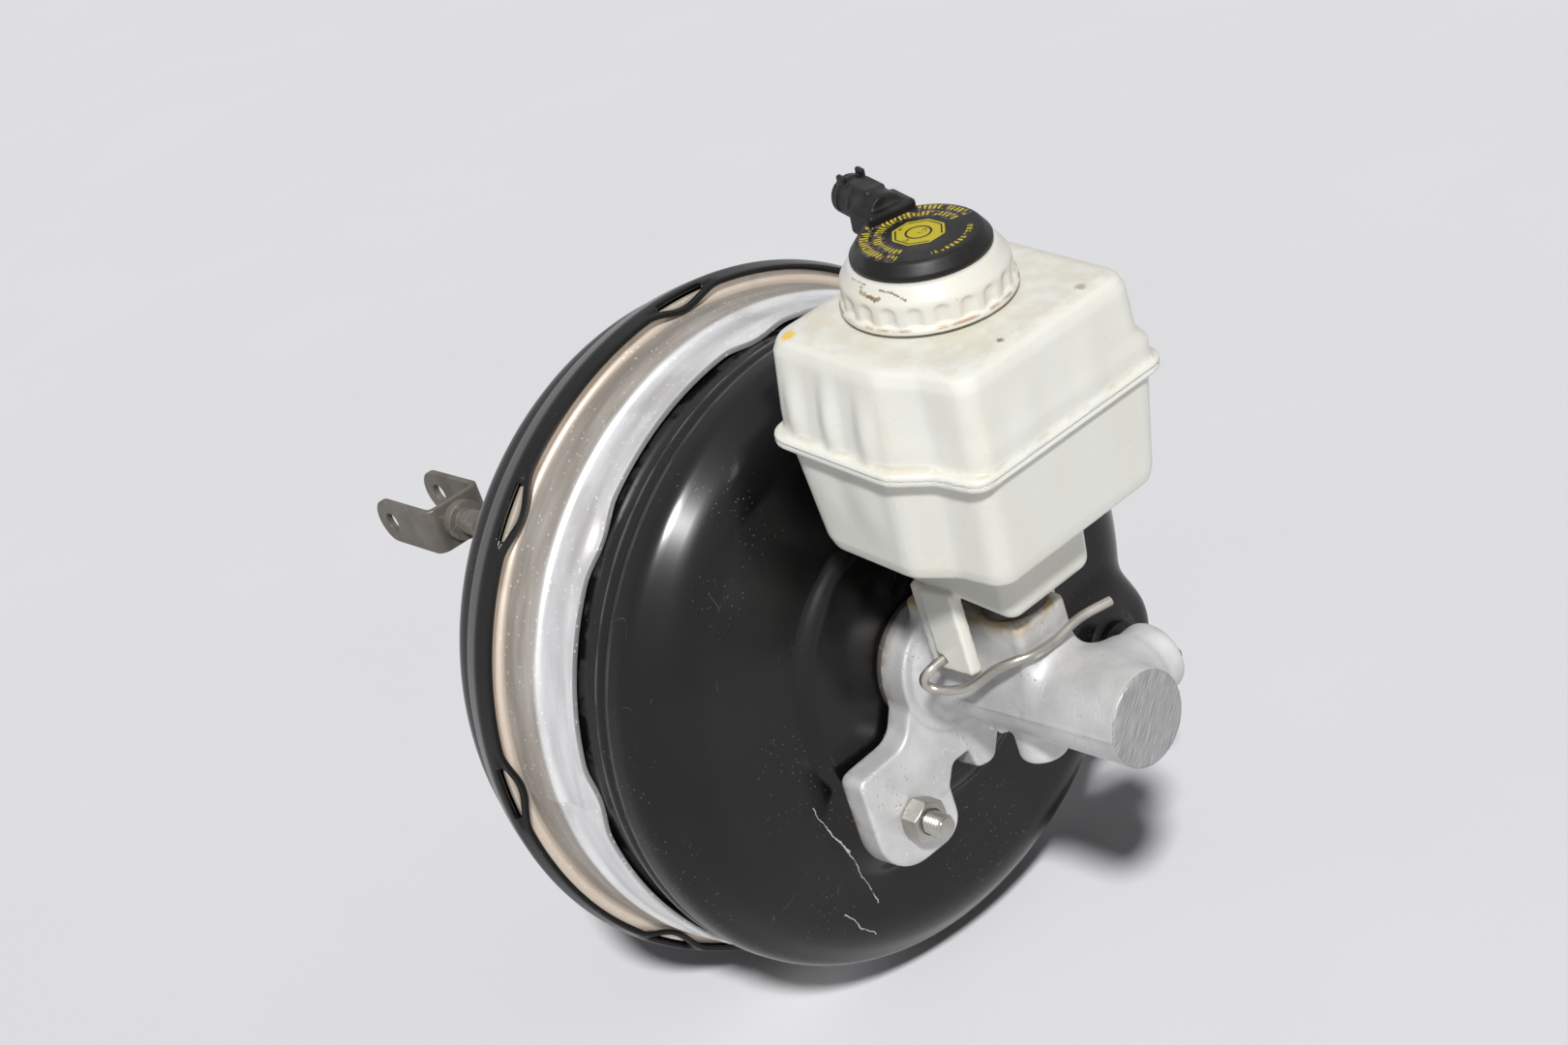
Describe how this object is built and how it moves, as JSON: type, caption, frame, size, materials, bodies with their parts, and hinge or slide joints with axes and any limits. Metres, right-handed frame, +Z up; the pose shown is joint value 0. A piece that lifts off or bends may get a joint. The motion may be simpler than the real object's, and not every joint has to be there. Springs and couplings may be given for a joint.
{
  "type": "brake booster with master cylinder",
  "caption": "Tandem vacuum brake booster with crimped shell, cast master cylinder, fluid reservoir with level sensor cap, and a clevis rod to the brake pedal.",
  "frame": {"origin": "on the booster axis, in the rear face that meets the bulkhead", "axes": "+X along the booster axis from the pedal rod to the master cylinder, +Z up to the reservoir, +Y to the side of the vacuum connection"},
  "size_m": [0.42, 0.2428, 0.2887],
  "materials": {
    "black_shell": "gloss black paint",
    "shell_aluminium": "satin rolled sheet",
    "cast_aluminium": "as cast, satin",
    "zinc_steel": "zinc plated",
    "phosphated_steel": "brown-grey phosphate",
    "spring_steel": "drawn wire",
    "clip_wire": "dull stainless wire",
    "pressed_steel": "plain pressed sheet",
    "piston_aluminium": "anodised",
    "rubber_black": "dull",
    "seal_rubber": "dull, dirty",
    "valve_body": "moulded phenolic",
    "milky_plastic": "translucent milky moulding",
    "ring_plastic": "white moulding",
    "cap_plastic": "fine grained black",
    "filter_foam": "open foam",
    "contact_brass": "tinned"
  },
  "bodies": {
    "housing": {"rear_shell": "black_shell", "centre_shell": "shell_aluminium", "front_shell": "black_shell", "bulkhead_studs": "zinc_steel", "master_cylinder_studs": "zinc_steel", "flange_nuts": "zinc_steel", "neck_seal": "rubber_black", "divider_plate": "pressed_steel", "divider_seal": "rubber_black", "rear_diaphragm": "rubber_black", "front_diaphragm": "rubber_black", "main_return_spring": "spring_steel", "dust_boot": "rubber_black", "master_cylinder_seal": "seal_rubber", "master_cylinder_body": "cast_aluminium", "piston_guide": "cap_plastic", "piston_retaining_ring": "spring_steel", "secondary_spring": "spring_steel", "vacuum_grommet": "seal_rubber", "reservoir_lower": "milky_plastic", "reservoir_upper": "milky_plastic", "reservoir_grommets": "seal_rubber", "reservoir_clip": "clip_wire", "strainer": "ring_plastic"},
    "power_piston": {"power_piston": "valve_body", "rear_piston_plate": "pressed_steel", "front_piston_plate": "pressed_steel", "stop_key": "pressed_steel", "valve_poppet": "rubber_black", "poppet_spring": "spring_steel", "rod_return_spring": "spring_steel", "air_filter": "filter_foam", "reaction_disc": "rubber_black", "output_rod": "zinc_steel"},
    "air_valve": {"air_valve_plunger": "zinc_steel"},
    "pedal_rod": {"input_rod": "phosphated_steel", "clevis": "phosphated_steel"},
    "primary_piston": {"primary_piston": "piston_aluminium", "primary_cup": "rubber_black"},
    "secondary_piston": {"secondary_piston": "piston_aluminium", "secondary_cups": "rubber_black", "primary_spring": "spring_steel"},
    "sensor_cap": {"sensor_cap": "cap_plastic", "contact_pins": "contact_brass", "cap_gasket": "rubber_black"},
    "cap_ring": {"cap_ring": "ring_plastic"},
    "level_float": {"level_float": "ring_plastic"},
    "check_valve": {"check_valve": "cap_plastic"}
  },
  "joints": [
    {"name": "power_stroke", "type": "slide", "parent": "housing", "child": "power_piston", "axis": [1, 0, 0], "range_m": [0, 0.03], "deforming": ["main_return_spring", "rear_diaphragm", "front_diaphragm", "dust_boot"]},
    {"name": "air_valve_lift", "type": "slide", "parent": "power_piston", "child": "air_valve", "axis": [1, 0, 0], "range_m": [0, 0.0015], "deforming": ["rod_return_spring", "poppet_spring", "valve_poppet"]},
    {"name": "pedal_rod_tilt", "type": "hinge", "parent": "air_valve", "child": "pedal_rod", "pos_m": [0.012, 0, 0], "axis": [0, 1, 0], "range_deg": [-3, 3]},
    {"name": "primary_stroke", "type": "slide", "parent": "housing", "child": "primary_piston", "axis": [1, 0, 0], "range_m": [0, 0.03], "deforming": ["primary_spring"]},
    {"name": "secondary_stroke", "type": "slide", "parent": "housing", "child": "secondary_piston", "axis": [1, 0, 0], "range_m": [0, 0.015], "deforming": ["secondary_spring"]},
    {"name": "cap_lift", "type": "slide", "parent": "housing", "child": "sensor_cap", "axis": [0.143, 0, 0.9897], "range_m": [0, 0.09]},
    {"name": "cap_turn", "type": "hinge", "parent": "sensor_cap", "child": "cap_ring", "pos_m": [0.19866, 0, 0.14058], "axis": [0.143, 0, 0.9897], "continuous": true},
    {"name": "float_rise", "type": "slide", "parent": "sensor_cap", "child": "level_float", "axis": [0.143, 0, 0.9897], "range_m": [0, 0.018]},
    {"name": "check_valve_swivel", "type": "hinge", "parent": "housing", "child": "check_valve", "pos_m": [0.15, 0.0788, -0.0447], "axis": [1, 0, 0], "continuous": true}
  ],
  "couplings": [
    {"joint": "primary_stroke", "follows": "power_stroke", "ratio": 1},
    {"joint": "secondary_stroke", "follows": "power_stroke", "ratio": 0.5}
  ]
}
